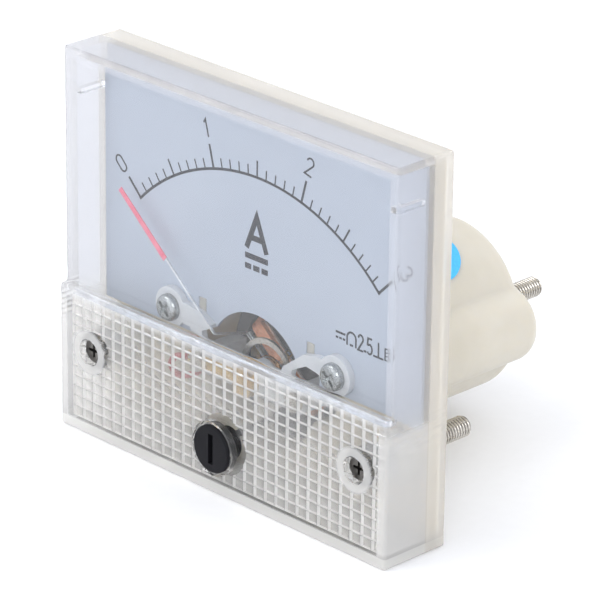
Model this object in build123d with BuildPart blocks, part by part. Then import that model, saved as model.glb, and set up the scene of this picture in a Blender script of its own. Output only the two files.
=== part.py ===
"""Small rectangular moving-coil panel meter, as separate pieces in one shared frame.

Frame: +X to the right and +Z up as the dial is read, +Y backwards into the panel. The origin
is on the panel's front face, midway between the two mounting studs. Sizes are in millimetres.
"""

import math
import os

from build123d import *

os.makedirs("parts", exist_ok=True)

# ---- Driving dimensions -------------------------------------------------------------------

FACE_WIDTH = 64.0
FACE_HEIGHT = 56.0
FACE_BOTTOM = -12.6
WINDOW_DEPTH = 9.9
APRON_DEPTH = 11.1
APRON_TOP = 8.8
COVER_WALL = 1.5
COVER_GAP = 0.1

STUD_SPACING = 52.0
STUD_RADIUS = 1.5
STUD_LENGTH = 9.9

FLANGE_THICKNESS = 2.1
BARREL_Z = 3.0
BARREL_RADIUS = 12.6
BARREL_DEPTH = 36.0
BARREL_ROUNDING = 2.0
BORE_RADIUS = 10.7
LOBE_RADIUS = 5.6
LOBE_OFFSET = 10.3
CHANNEL_RADIUS = 3.7
CHANNEL_OFFSET = 10.6

TERMINAL_X = 5.2
TERMINAL_Z = 3.5
TERMINAL_TIP = 46.7
TERMINAL_TIP_ROUNDING = 1.1

DIAL_FRONT = -3.5
DIAL_THICKNESS = 0.5
DIAL_HALF_WIDTH = 30.2
DIAL_BOTTOM = 4.9
DIAL_TOP = 41.7
DIAL_SCREW_X = 16.0
DIAL_SCREW_Z = 8.3
DIAL_TAB_X = 10.5
DIAL_TAB_Z = 9.9
OPENING_RADIUS = 9.2
OPENING_HALF_WIDTH = 12.3
OPENING_NOTCH_TOP = 7.6

PIVOT_Z = 2.6
ZERO_ANGLE = -49.8
NEEDLE_Y = DIAL_FRONT - 2.0
NEEDLE_START = 7.9
NEEDLE_JOIN = 20.5
NEEDLE_TIP = 32.4
HUB_ARM_END = 6.4

YOKE_OUTER = 10.3
YOKE_INNER = 8.3
YOKE_FRONT = 2.5
YOKE_BACK = 14.0
CORE_RADIUS = 6.2
CORE_FRONT = 3.0
CORE_BACK = 13.5
MOVEMENT_SCREW_X = 9.3

ADJUSTER_Z = -5.5
ADJUSTER_HEAD_RADIUS = 3.45
ADJUSTER_SHANK_RADIUS = 2.0
ADJUSTER_BEARING_RADIUS = 4.4
ADJUSTER_LIP_RADIUS = 2.35
ADJUSTER_SLOT_WIDTH = 0.9
ADJUSTER_SLOT_LENGTH = 4.4
ADJUSTER_SLOT_DEPTH = 0.9
ADJUSTER_PIN_OFFSET = 0.8
ADJUSTER_PIN_RADIUS = 0.5

RUNNING_GAP = 0.05

# ---- Levels along Y that follow from them ---------------------------------------------------

WINDOW_FRONT = -WINDOW_DEPTH
APRON_FRONT = -APRON_DEPTH
APRON_INSIDE = APRON_FRONT + COVER_WALL
FLANGE_FRONT = -FLANGE_THICKNESS
DIAL_BACK = DIAL_FRONT + DIAL_THICKNESS
FACE_TOP = FACE_BOTTOM + FACE_HEIGHT
COLLAR_FRONT = APRON_FRONT - 0.9
ADJUSTER_FRONT = APRON_FRONT - 1.2
ADJUSTER_SEAT = APRON_FRONT + 0.5
ADJUSTER_BEARING_BACK = -8.9
ADJUSTER_LIP_FRONT = -8.8
ADJUSTER_LIP_BACK = -8.0
ADJUSTER_PIN_END = -0.75
BOSS_BACK = -6.2
STUD_HEAD_FRONT = -5.5
STUD_HEAD_BACK = -0.8
STUD_HEAD_RADIUS = 2.5
STUD_SHOULDER_RADIUS = 1.75
STUD_BORE_DEPTH = 3.0
COVER_SCREW_SEAT = -8.9
COVER_SCREW_HEAD = 1.2
COVER_SCREW_HEAD_RADIUS = 1.7
COVER_SCREW_RADIUS = 1.0
BRIDGE_FRONT = -4.9
BRIDGE_BACK = DIAL_FRONT
BRIDGE_BOSS_BACK = -1.5
CONTACT_FRONT = BRIDGE_FRONT - 0.2
ZERO_ARM_FRONT = -1.45
ZERO_ARM_BACK = -1.05
FRONT_JEWEL_BACK = -0.95
HUB_FRONT = -0.3
HUB_BACK = 0.1
WINDING_FRONT = 1.6
WINDING_BACK = 14.9
REAR_FOOT_BACK = 15.2
REAR_STRAP_FRONT = 17.8
REAR_STRAP_BACK = 19.2
REAR_JEWEL_FRONT = 17.2
CASE_FLOOR = BARREL_DEPTH - 1.6
LUG_FRONT = CASE_FLOOR - 0.4
TERMINAL_HEAD_FRONT = LUG_FRONT - 2.0
TERMINAL_HEAD_RADIUS = 2.75
THREAD_ROOT_RADIUS = 1.25
WASHER_THICKNESS = 0.5
NUT_THICKNESS = 2.4
NUT_BACK = BARREL_DEPTH + WASHER_THICKNESS + NUT_THICKNESS


def facing(y):
    """The plane at depth y that looks out of the meter's front, with x right and y up."""
    return Plane(origin=(0, y, 0), x_dir=(1, 0, 0), z_dir=(0, -1, 0))


def disc(front, back, radius, places=((0, PIVOT_Z),), mode=Mode.ADD):
    """Round bars or holes along Y between two depths, inside the open part."""
    with BuildSketch(facing(back)) as profile:
        with Locations(*places):
            Circle(radius)
    extrude(profile.sketch, amount=back - front, mode=mode)


def block(front, back, left, right, bottom, top, mode=Mode.ADD):
    """A block between two depths, inside the open part."""
    with BuildSketch(facing(back)) as profile:
        with Locations(((left + right) / 2, (bottom + top) / 2)):
            Rectangle(right - left, top - bottom)
    extrude(profile.sketch, amount=back - front, mode=mode)


def both_sides(x, z):
    """The same place left and right of the middle."""
    return ((-x, z), (x, z))


def save(part, name):
    """Label a finished piece and write it out."""
    part.label = name
    export_step(part, f"parts/{name}.step")


# ---- Clear cover ---------------------------------------------------------------------------

CAVITY_HALF_WIDTH = FACE_WIDTH / 2 - COVER_WALL
CAVITY_BOTTOM = FACE_BOTTOM + COVER_WALL
CAVITY_TOP = FACE_TOP - COVER_WALL
COLLAR_RADIUS = 3.95
RECESS_RADIUS = 1.85
RECESS_BOSS_RADIUS = 2.7
COVER_HOLE_RADIUS = 1.1
GRIP_Z = 37.0
GRIP_HEIGHT = 0.9
GRIP_THICKNESS = 0.8
GRIP_BACK = -4.0

with BuildPart() as front_cover:
    block(WINDOW_FRONT, 0, -FACE_WIDTH / 2, FACE_WIDTH / 2, FACE_BOTTOM, FACE_TOP)
    block(APRON_FRONT, 0, -FACE_WIDTH / 2, FACE_WIDTH / 2, FACE_BOTTOM, APRON_TOP)
    front_edges = front_cover.edges().filter_by(
        lambda edge: edge.center().Y < WINDOW_FRONT + 0.01
    )
    fillet(front_edges.filter_by(Axis.X), radius=0.4)
    fillet(front_cover.edges().filter_by(Axis.Y), radius=0.5)
    block(WINDOW_FRONT + COVER_WALL, 0, -CAVITY_HALF_WIDTH, CAVITY_HALF_WIDTH,
          CAVITY_BOTTOM, CAVITY_TOP, Mode.SUBTRACT)
    block(APRON_INSIDE, 0, -CAVITY_HALF_WIDTH, CAVITY_HALF_WIDTH,
          CAVITY_BOTTOM, APRON_TOP - COVER_WALL, Mode.SUBTRACT)
    # Bosses that the cover screws pull against, and the adjuster's collar and bearing
    disc(APRON_INSIDE, BOSS_BACK, RECESS_BOSS_RADIUS, both_sides(STUD_SPACING / 2, 0))
    disc(COLLAR_FRONT, APRON_FRONT, COLLAR_RADIUS, ((0, ADJUSTER_Z),))
    disc(APRON_INSIDE, ADJUSTER_BEARING_BACK, ADJUSTER_BEARING_RADIUS, ((0, ADJUSTER_Z),))
    disc(APRON_FRONT, COVER_SCREW_SEAT, RECESS_RADIUS,
         both_sides(STUD_SPACING / 2, 0), Mode.SUBTRACT)
    disc(APRON_FRONT, BOSS_BACK, COVER_HOLE_RADIUS,
         both_sides(STUD_SPACING / 2, 0), Mode.SUBTRACT)
    disc(COLLAR_FRONT, ADJUSTER_SEAT, ADJUSTER_HEAD_RADIUS + 0.15,
         ((0, ADJUSTER_Z),), Mode.SUBTRACT)
    disc(COLLAR_FRONT, ADJUSTER_BEARING_BACK, ADJUSTER_SHANK_RADIUS + RUNNING_GAP,
         ((0, ADJUSTER_Z),), Mode.SUBTRACT)
    # Short grip ribs inside the two side walls
    for side in (-1, 1):
        inner = side * (CAVITY_HALF_WIDTH - GRIP_HEIGHT)
        outer = side * CAVITY_HALF_WIDTH
        block(WINDOW_FRONT + COVER_WALL, GRIP_BACK, min(inner, outer), max(inner, outer),
              GRIP_Z - GRIP_THICKNESS / 2, GRIP_Z + GRIP_THICKNESS / 2)
save(front_cover.part, "front_cover")

with BuildPart() as cover_screws:
    places = both_sides(STUD_SPACING / 2, 0)
    head_front = COVER_SCREW_SEAT - COVER_SCREW_HEAD
    disc(head_front, COVER_SCREW_SEAT, COVER_SCREW_HEAD_RADIUS, places)
    disc(COVER_SCREW_SEAT, STUD_HEAD_FRONT + STUD_BORE_DEPTH - 0.1, COVER_SCREW_RADIUS, places)
    for x, z in places:
        block(head_front, head_front + 0.7, x - 1.0, x + 1.0, z - 0.2, z + 0.2, Mode.SUBTRACT)
        block(head_front, head_front + 0.7, x - 0.2, x + 0.2, z - 1.0, z + 1.0, Mode.SUBTRACT)
save(cover_screws.part, "cover_screws")

with BuildPart() as zero_adjuster:
    place = ((0, ADJUSTER_Z),)
    disc(ADJUSTER_FRONT, ADJUSTER_SEAT - RUNNING_GAP, ADJUSTER_HEAD_RADIUS, place)
    fillet(zero_adjuster.edges().group_by(Axis.Y)[0], radius=0.3)
    disc(ADJUSTER_SEAT - RUNNING_GAP, ADJUSTER_LIP_FRONT, ADJUSTER_SHANK_RADIUS, place)
    disc(ADJUSTER_LIP_FRONT, ADJUSTER_LIP_BACK, ADJUSTER_LIP_RADIUS, place)
    disc(ADJUSTER_LIP_BACK, ADJUSTER_PIN_END, ADJUSTER_PIN_RADIUS,
         ((0, ADJUSTER_Z + ADJUSTER_PIN_OFFSET),))
    # Screwdriver slot, upright at rest
    block(ADJUSTER_FRONT, ADJUSTER_FRONT + ADJUSTER_SLOT_DEPTH,
          -ADJUSTER_SLOT_WIDTH / 2, ADJUSTER_SLOT_WIDTH / 2,
          ADJUSTER_Z - ADJUSTER_SLOT_LENGTH / 2, ADJUSTER_Z + ADJUSTER_SLOT_LENGTH / 2,
          Mode.SUBTRACT)
save(zero_adjuster.part, "zero_adjuster")

# ---- Rear case -----------------------------------------------------------------------------

FLANGE_HALF_WIDTH = CAVITY_HALF_WIDTH - COVER_GAP
FLANGE_BOTTOM = CAVITY_BOTTOM + COVER_GAP
FLANGE_TOP = CAVITY_TOP - COVER_GAP
VALLEY_ROUNDING = 1.4
STUD_BOSS_RADIUS = 3.3
DIAL_BOSS_RADIUS = 2.6
POST_RADIUS = 1.8
RAIL_BACK = 20.0
RAIL_WIDTH = 2.4
DIAL_POSTS = ((-27, 38.5), (27, 38.5), (-27, 20), (27, 20), (0, 38.5))

with BuildPart() as rear_case:
    disc(0, BARREL_DEPTH, BARREL_RADIUS, ((0, BARREL_Z),))
    disc(0, BARREL_DEPTH, LOBE_RADIUS, both_sides(LOBE_OFFSET, BARREL_Z))
    valleys = rear_case.edges().filter_by(Axis.Y).filter_by(
        lambda edge: abs(edge.center().Z - BARREL_Z) > 1
    )
    fillet(valleys, radius=VALLEY_ROUNDING)
    fillet(rear_case.edges().group_by(Axis.Y)[-1], radius=BARREL_ROUNDING)
    block(FLANGE_FRONT, 0, -FLANGE_HALF_WIDTH, FLANGE_HALF_WIDTH, FLANGE_BOTTOM, FLANGE_TOP)
    # Bosses for the studs and dial screws, posts behind the dial, tabs through its slots
    disc(STUD_HEAD_FRONT - 0.4, FLANGE_FRONT, STUD_BOSS_RADIUS,
         both_sides(STUD_SPACING / 2, 0))
    disc(DIAL_BACK, FLANGE_FRONT, DIAL_BOSS_RADIUS, both_sides(DIAL_SCREW_X, DIAL_SCREW_Z))
    disc(DIAL_BACK, FLANGE_FRONT, POST_RADIUS, DIAL_POSTS)
    for x in (-DIAL_TAB_X, DIAL_TAB_X):
        block(DIAL_BACK, FLANGE_FRONT, x - 1.3, x + 1.3, DIAL_TAB_Z - 1.7, DIAL_TAB_Z + 1.7)
        block(DIAL_FRONT, FLANGE_FRONT, x - 0.65, x + 0.65, DIAL_TAB_Z - 1.1, DIAL_TAB_Z + 1.1)
    # Hollow for the movement, with a wire channel in each lobe
    disc(DIAL_FRONT, CASE_FLOOR, BORE_RADIUS, mode=Mode.SUBTRACT)
    disc(DIAL_FRONT, CASE_FLOOR, CHANNEL_RADIUS, both_sides(CHANNEL_OFFSET, PIVOT_Z), Mode.SUBTRACT)
    # Rails that centre the yoke in the bore
    for angle in (45, 135, 225, 315):
        with BuildSketch(facing(RAIL_BACK)):
            with Locations((0, PIVOT_Z)):
                with PolarLocations(BORE_RADIUS + 0.1, 1, start_angle=angle):
                    Rectangle(1.0, RAIL_WIDTH)
        extrude(amount=RAIL_BACK - YOKE_FRONT)
    disc(YOKE_FRONT, RAIL_BACK, YOKE_OUTER, mode=Mode.SUBTRACT)
    # Holes for studs, screws and terminals
    disc(STUD_HEAD_FRONT - 0.4, STUD_HEAD_BACK, STUD_HEAD_RADIUS,
         both_sides(STUD_SPACING / 2, 0), Mode.SUBTRACT)
    disc(STUD_HEAD_BACK, 0, STUD_SHOULDER_RADIUS, both_sides(STUD_SPACING / 2, 0), Mode.SUBTRACT)
    disc(DIAL_BACK, -0.7, 1.0, both_sides(DIAL_SCREW_X, DIAL_SCREW_Z), Mode.SUBTRACT)
    disc(CASE_FLOOR, BARREL_DEPTH, STUD_RADIUS + 0.05,
         both_sides(TERMINAL_X, TERMINAL_Z), Mode.SUBTRACT)
save(rear_case.part, "rear_case")

with BuildPart() as mounting_studs:
    places = both_sides(STUD_SPACING / 2, 0)
    disc(STUD_HEAD_FRONT, STUD_HEAD_BACK, STUD_HEAD_RADIUS, places)
    disc(STUD_HEAD_BACK, 0, STUD_SHOULDER_RADIUS, places)
    disc(0, STUD_LENGTH, STUD_RADIUS, places)
    chamfer(mounting_studs.edges().group_by(Axis.Y)[-1], length=0.4)
    disc(STUD_HEAD_FRONT, STUD_HEAD_FRONT + STUD_BORE_DEPTH, COVER_SCREW_RADIUS, places,
         Mode.SUBTRACT)
save(mounting_studs.part, "mounting_studs")

# A thin round label wrapped onto the barrel's upper right
LABEL_ANGLE = 67.5
LABEL_Y = 23.8
LABEL_RADIUS = 5.1
LABEL_THICKNESS = 0.12
label_plane = Plane(
    origin=(0, LABEL_Y, BARREL_Z),
    x_dir=(0, 1, 0),
    z_dir=(math.cos(math.radians(LABEL_ANGLE)), 0, math.sin(math.radians(LABEL_ANGLE))),
)
with BuildPart() as inspection_label:
    place = ((0, BARREL_Z),)
    disc(LABEL_Y - LABEL_RADIUS, LABEL_Y + LABEL_RADIUS, BARREL_RADIUS + LABEL_THICKNESS, place)
    disc(LABEL_Y - LABEL_RADIUS, LABEL_Y + LABEL_RADIUS, BARREL_RADIUS, place, Mode.SUBTRACT)
    with BuildSketch(label_plane):
        Circle(LABEL_RADIUS)
    extrude(amount=BARREL_RADIUS * 2, mode=Mode.INTERSECT)
save(inspection_label.part, "inspection_label")

# ---- Dial ----------------------------------------------------------------------------------

with BuildPart() as dial_plate:
    block(DIAL_FRONT, DIAL_BACK, -DIAL_HALF_WIDTH, DIAL_HALF_WIDTH, DIAL_BOTTOM, DIAL_TOP)
    disc(DIAL_FRONT, DIAL_BACK, OPENING_RADIUS, mode=Mode.SUBTRACT)
    block(DIAL_FRONT, DIAL_BACK, -OPENING_HALF_WIDTH, OPENING_HALF_WIDTH,
          DIAL_BOTTOM, OPENING_NOTCH_TOP, Mode.SUBTRACT)
    disc(DIAL_FRONT, DIAL_BACK, 1.2, both_sides(DIAL_SCREW_X, DIAL_SCREW_Z), Mode.SUBTRACT)
    for x in (-DIAL_TAB_X, DIAL_TAB_X):
        block(DIAL_FRONT, DIAL_BACK, x - 0.75, x + 0.75,
              DIAL_TAB_Z - 1.2, DIAL_TAB_Z + 1.2, Mode.SUBTRACT)
save(dial_plate.part, "dial_plate")

EAR_FRONT = DIAL_FRONT - 1.0
DIAL_SCREW_HEAD_RADIUS = 1.95

with BuildPart() as dial_screws:
    places = both_sides(DIAL_SCREW_X, DIAL_SCREW_Z)
    disc(EAR_FRONT - 1.2, EAR_FRONT, DIAL_SCREW_HEAD_RADIUS, places)
    fillet(dial_screws.edges().group_by(Axis.Y)[0], radius=0.8)
    disc(EAR_FRONT, -0.9, 1.0, places)
    for x, z in places:
        with Locations(Location((x, EAR_FRONT - 1.2, z), (0, 45, 0))):
            Box(2.4, 1.4, 0.5, mode=Mode.SUBTRACT)
            Box(0.5, 1.4, 2.4, mode=Mode.SUBTRACT)
save(dial_screws.part, "dial_screws")

# ---- Fixed part of the movement -------------------------------------------------------------

LEG_INNER = 8.1
LEG_OUTER = 10.4
LEG_HALF_HEIGHT = 1.6


# Outlines of the bridge's two sloping arms, which stop short of the pointer's ends of travel
RIGHT_ARM = (
    (DIAL_SCREW_X, DIAL_SCREW_Z + 1.6),
    (12.6, 10.0),
    (10.1, 9.5),
    (6.3, 6.6),
    (4.6, 3.4),
    (7.2, 3.4),
    (8.0, 6.6),
    (10.7, 8.0),
    (12.6, 7.7),
    (DIAL_SCREW_X, DIAL_SCREW_Z - 1.6),
)
LEFT_ARM = (
    (-DIAL_SCREW_X, DIAL_SCREW_Z + 1.6),
    (-12.4, 9.7),
    (-10.1, 9.3),
    (-7.8, 8.1),
    (-7.8, 7.6),
    (-9.7, 6.7),
    (-8.9, 3.4),
    (-10.4, 3.4),
    (-12.0, 6.6),
    (-DIAL_SCREW_X, DIAL_SCREW_Z - 1.6),
)

with BuildPart() as front_bridge:
    disc(EAR_FRONT, DIAL_FRONT, 2.9, both_sides(DIAL_SCREW_X, DIAL_SCREW_Z))
    for outline in (LEFT_ARM, RIGHT_ARM):
        with BuildSketch(facing(DIAL_FRONT)):
            with BuildLine():
                Polyline(*outline, close=True)
            make_face()
        extrude(amount=DIAL_FRONT - EAR_FRONT)
    block(BRIDGE_FRONT, BRIDGE_BACK, -LEG_OUTER, LEG_OUTER,
          PIVOT_Z - LEG_HALF_HEIGHT, PIVOT_Z + LEG_HALF_HEIGHT)
    disc(BRIDGE_FRONT, BRIDGE_BOSS_BACK, 2.2)
    for left, right in ((-LEG_OUTER, -LEG_INNER), (LEG_INNER, LEG_OUTER)):
        block(BRIDGE_BACK, YOKE_FRONT, left, right,
              PIVOT_Z - LEG_HALF_HEIGHT, PIVOT_Z + LEG_HALF_HEIGHT)
    disc(EAR_FRONT, DIAL_FRONT, 1.05, both_sides(DIAL_SCREW_X, DIAL_SCREW_Z), Mode.SUBTRACT)
    disc(BRIDGE_FRONT, YOKE_FRONT, 0.8, both_sides(MOVEMENT_SCREW_X, PIVOT_Z), Mode.SUBTRACT)
    disc(BRIDGE_FRONT, BRIDGE_BOSS_BACK, 1.2, mode=Mode.SUBTRACT)
save(front_bridge.part, "front_bridge")

with BuildPart() as yoke_ring:
    disc(YOKE_FRONT, YOKE_BACK, YOKE_OUTER)
    disc(YOKE_FRONT, YOKE_BACK, YOKE_INNER, mode=Mode.SUBTRACT)
    disc(YOKE_FRONT, YOKE_BACK, 0.8, both_sides(MOVEMENT_SCREW_X, PIVOT_Z), Mode.SUBTRACT)
save(yoke_ring.part, "yoke_ring")

with BuildPart() as core_magnet:
    disc(CORE_FRONT, CORE_BACK, CORE_RADIUS)
    chamfer(core_magnet.edges().filter_by(GeomType.CIRCLE), length=0.3)
save(core_magnet.part, "core_magnet")

# Two brass spacers hold the core in the middle of the yoke, clear of the coil's swing
with BuildPart() as core_spacers:
    disc(CORE_FRONT + 0.5, CORE_BACK - 0.5, YOKE_INNER)
    disc(CORE_FRONT + 0.5, CORE_BACK - 0.5, CORE_RADIUS, mode=Mode.SUBTRACT)
    block(CORE_FRONT, CORE_BACK, -YOKE_INNER, YOKE_INNER, PIVOT_Z - 1.5, PIVOT_Z + 1.5,
          Mode.INTERSECT)
save(core_spacers.part, "core_spacers")

with BuildPart() as rear_bridge:
    for left, right in ((-LEG_OUTER, -LEG_INNER), (LEG_INNER, LEG_OUTER)):
        block(YOKE_BACK, REAR_FOOT_BACK, left, right,
              PIVOT_Z - LEG_HALF_HEIGHT, PIVOT_Z + LEG_HALF_HEIGHT)
    for left, right in ((-9.8, -8.5), (8.5, 9.8)):
        block(REAR_FOOT_BACK, REAR_STRAP_FRONT, left, right,
              PIVOT_Z - LEG_HALF_HEIGHT, PIVOT_Z + LEG_HALF_HEIGHT)
    block(REAR_STRAP_FRONT, REAR_STRAP_BACK, -9.8, 9.8,
          PIVOT_Z - LEG_HALF_HEIGHT, PIVOT_Z + LEG_HALF_HEIGHT)
    disc(YOKE_BACK, REAR_FOOT_BACK, 0.8, both_sides(MOVEMENT_SCREW_X, PIVOT_Z), Mode.SUBTRACT)
    disc(REAR_STRAP_FRONT, REAR_STRAP_BACK, 1.2, mode=Mode.SUBTRACT)
save(rear_bridge.part, "rear_bridge")

# Brass strip from the front jewel screw to the red lead, under the left movement screw
CONTACT_LEFT = -11.6
with BuildPart() as contact_strip:
    block(CONTACT_FRONT, BRIDGE_FRONT, CONTACT_LEFT, 0, PIVOT_Z - 0.9, PIVOT_Z + 0.9)
    disc(CONTACT_FRONT, BRIDGE_FRONT, 2.2)
    disc(CONTACT_FRONT, BRIDGE_FRONT, 1.2, mode=Mode.SUBTRACT)
    disc(CONTACT_FRONT, BRIDGE_FRONT, 0.8, ((-MOVEMENT_SCREW_X, PIVOT_Z),), Mode.SUBTRACT)
save(contact_strip.part, "contact_strip")

with BuildPart() as movement_screws:
    for x, seat in ((-MOVEMENT_SCREW_X, CONTACT_FRONT), (MOVEMENT_SCREW_X, BRIDGE_FRONT)):
        disc(seat - 0.8, seat, 1.4, ((x, PIVOT_Z),))
        disc(seat, REAR_FOOT_BACK, 0.8, ((x, PIVOT_Z),))
        block(seat - 0.8, seat - 0.4, x - 1.4, x + 1.4, PIVOT_Z - 0.2, PIVOT_Z + 0.2,
              Mode.SUBTRACT)
save(movement_screws.part, "movement_screws")

with BuildPart() as front_jewel_screw:
    disc(CONTACT_FRONT - 1.4, FRONT_JEWEL_BACK, 1.2)
    disc(FRONT_JEWEL_BACK - 0.65, FRONT_JEWEL_BACK, 0.25 + RUNNING_GAP, mode=Mode.SUBTRACT)
    block(CONTACT_FRONT - 1.4, CONTACT_FRONT - 0.9, -1.2, 1.2, PIVOT_Z - 0.2, PIVOT_Z + 0.2,
          Mode.SUBTRACT)
save(front_jewel_screw.part, "front_jewel_screw")

with BuildPart() as rear_jewel_screw:
    disc(REAR_JEWEL_FRONT, REAR_STRAP_BACK + 1.6, 1.2)
    disc(REAR_JEWEL_FRONT, REAR_JEWEL_FRONT + 0.65, 0.25 + RUNNING_GAP, mode=Mode.SUBTRACT)
    block(REAR_STRAP_BACK + 1.1, REAR_STRAP_BACK + 1.6, -1.2, 1.2,
          PIVOT_Z - 0.2, PIVOT_Z + 0.2, Mode.SUBTRACT)
save(rear_jewel_screw.part, "rear_jewel_screw")

with BuildPart() as jewel_lock_nuts:
    for back in (CONTACT_FRONT, REAR_STRAP_BACK + 0.9):
        with BuildSketch(facing(back)):
            with Locations((0, PIVOT_Z)):
                RegularPolygon(radius=2.2, side_count=6)
                Circle(1.2, mode=Mode.SUBTRACT)
        extrude(amount=0.9)
save(jewel_lock_nuts.part, "jewel_lock_nuts")

# ---- Moving coil and pointer ----------------------------------------------------------------

# In the coil's plane x runs outwards along the pointer and y runs towards the front.
sin_zero = math.sin(math.radians(ZERO_ANGLE))
cos_zero = math.cos(math.radians(ZERO_ANGLE))
coil_plane = Plane(
    origin=(0, 0, PIVOT_Z), x_dir=(sin_zero, 0, cos_zero), z_dir=(cos_zero, 0, -sin_zero)
)
# The pointer's own front view: x outwards along the pointer, y to its left.
WINDING_OUTER = 7.8
WINDING_INNER = 6.95
FORMER_INNER = 6.6
FORMER_FRONT = WINDING_FRONT + 0.7
FORMER_BACK = WINDING_BACK - 0.7
WINDING_WIDTH = 2.2
FORMER_WIDTH = 2.8


def pointer_view(y):
    """The plane at depth y seen from the front, with x outwards along the pointer."""
    return Plane(origin=(0, y, PIVOT_Z), x_dir=(sin_zero, 0, cos_zero), z_dir=(0, -1, 0))


def loop(half_length, front, back, corner):
    """A rounded rectangle in the open coil-plane sketch, between two depths."""
    with Locations((0, -(front + back) / 2)):
        RectangleRounded(2 * half_length, back - front, corner)


with BuildPart() as coil_former:
    with BuildSketch(coil_plane):
        loop(WINDING_INNER, FORMER_FRONT, FORMER_BACK, 0.6)
    extrude(amount=FORMER_WIDTH / 2, both=True)
    with BuildSketch(coil_plane):
        loop(FORMER_INNER, FORMER_FRONT + 0.3, FORMER_BACK - 0.3, 0.4)
    extrude(amount=FORMER_WIDTH, both=True, mode=Mode.SUBTRACT)
save(coil_former.part, "coil_former")

with BuildPart() as coil_winding:
    with BuildSketch(coil_plane):
        loop(WINDING_OUTER, WINDING_FRONT, WINDING_BACK, 1.0)
    extrude(amount=WINDING_WIDTH / 2, both=True)
    with BuildSketch(coil_plane):
        loop(WINDING_INNER, FORMER_FRONT, FORMER_BACK, 0.6)
    extrude(amount=WINDING_WIDTH, both=True, mode=Mode.SUBTRACT)
save(coil_winding.part, "coil_winding")

with BuildPart() as front_shaft:
    disc(WINDING_FRONT - 0.4, WINDING_FRONT, 1.0)
    disc(-0.6, WINDING_FRONT - 0.4, 0.5)
    disc(FRONT_JEWEL_BACK - 0.45, -0.6, 0.25)
save(front_shaft.part, "front_shaft")

with BuildPart() as rear_shaft:
    disc(WINDING_BACK, WINDING_BACK + 0.4, 1.0)
    disc(WINDING_BACK + 0.4, 16.0, 0.5)
    disc(16.0, 16.7, 0.9)
    disc(16.7, REAR_JEWEL_FRONT + 0.45, 0.25)
save(rear_shaft.part, "rear_shaft")

ARM_WIDTH = 0.5
SIDE_ARM_END = 4.6
TAIL_ARM_END = 6.5
with BuildPart() as pointer_hub:
    disc(-0.8, HUB_FRONT, 0.9)
    disc(HUB_FRONT, HUB_BACK + 0.4, 1.4)
    with BuildSketch(pointer_view(HUB_BACK)):
        with Locations(((HUB_ARM_END - TAIL_ARM_END) / 2, 0)):
            Rectangle(HUB_ARM_END + TAIL_ARM_END, ARM_WIDTH)
        Rectangle(ARM_WIDTH, 2 * SIDE_ARM_END)
    extrude(amount=HUB_BACK - HUB_FRONT)
    disc(-0.8, HUB_BACK + 0.4, 0.5, mode=Mode.SUBTRACT)
save(pointer_hub.part, "pointer_hub")

WEIGHT_RADIUS = 0.55
TAIL_WEIGHT_RADIUS = 0.7
TAIL_WEIGHT_LENGTH = 3.6
ARM_MIDDLE = (HUB_FRONT + HUB_BACK) / 2


def weight(plane, radius, near, far):
    """A slotted sleeve around an arm of the hub, from near to far along the plane's normal."""
    with BuildSketch(plane.offset(near)) as profile:
        Circle(radius)
        Rectangle(ARM_WIDTH, HUB_BACK - HUB_FRONT, mode=Mode.SUBTRACT)
    extrude(profile.sketch, amount=far - near)


with BuildPart() as balance_weights:
    arm_centre = (0, ARM_MIDDLE, PIVOT_Z)
    tail_plane = Plane(
        origin=arm_centre, x_dir=(cos_zero, 0, -sin_zero), z_dir=(-sin_zero, 0, -cos_zero)
    )
    weight(tail_plane, TAIL_WEIGHT_RADIUS, TAIL_ARM_END - TAIL_WEIGHT_LENGTH, TAIL_ARM_END)
    for side in (-1, 1):
        side_plane = Plane(
            origin=arm_centre,
            x_dir=(sin_zero, 0, cos_zero),
            z_dir=(side * cos_zero, 0, -side * sin_zero),
        )
        weight(side_plane, WEIGHT_RADIUS, SIDE_ARM_END - 1.2, SIDE_ARM_END)
save(balance_weights.part, "balance_weights")

NEEDLE_WIDTH = 0.28
TIP_WIDTH = 0.9
TIP_END_WIDTH = 0.75
TIP_THICKNESS = 0.15
with BuildPart() as pointer_needle:
    # Cranked wire: out along the hub's arm, forward past the dial, then out over the scale
    with BuildSketch(coil_plane):
        with BuildLine() as crank:
            FilletPolyline(
                (HUB_ARM_END - 2.0, -(HUB_FRONT - NEEDLE_WIDTH / 2)),
                (HUB_ARM_END, -(HUB_FRONT - NEEDLE_WIDTH / 2)),
                (NEEDLE_START, -NEEDLE_Y),
                (NEEDLE_JOIN + 2.0, -NEEDLE_Y),
                radius=0.35,
            )
        trace(line_width=NEEDLE_WIDTH)
    extrude(amount=NEEDLE_WIDTH / 2, both=True)
save(pointer_needle.part, "pointer_needle")

with BuildPart() as pointer_tip:
    # Flat red blade bonded in front of the wire's end
    with BuildSketch(pointer_view(NEEDLE_Y - NEEDLE_WIDTH / 2)):
        with BuildLine():
            Polyline(
                (NEEDLE_JOIN, -TIP_WIDTH / 2),
                (NEEDLE_JOIN, TIP_WIDTH / 2),
                (NEEDLE_TIP, TIP_END_WIDTH / 2),
                (NEEDLE_TIP, -TIP_END_WIDTH / 2),
                close=True,
            )
        make_face()
    extrude(amount=TIP_THICKNESS)
save(pointer_tip.part, "pointer_tip")

# ---- Hairsprings and zero setting -----------------------------------------------------------

SPRING_INNER = 1.15
SPRING_PITCH = 0.35
SPRING_TURNS = 4
SPRING_WIDTH = 0.3
SPRING_THICKNESS = 0.1
SPRING_OUTER = SPRING_INNER + SPRING_PITCH * SPRING_TURNS
STAKE_RADIUS = SPRING_OUTER + 0.3
FRONT_SPRING_BACK = -0.6
REAR_SPRING_FRONT = 16.2


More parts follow.
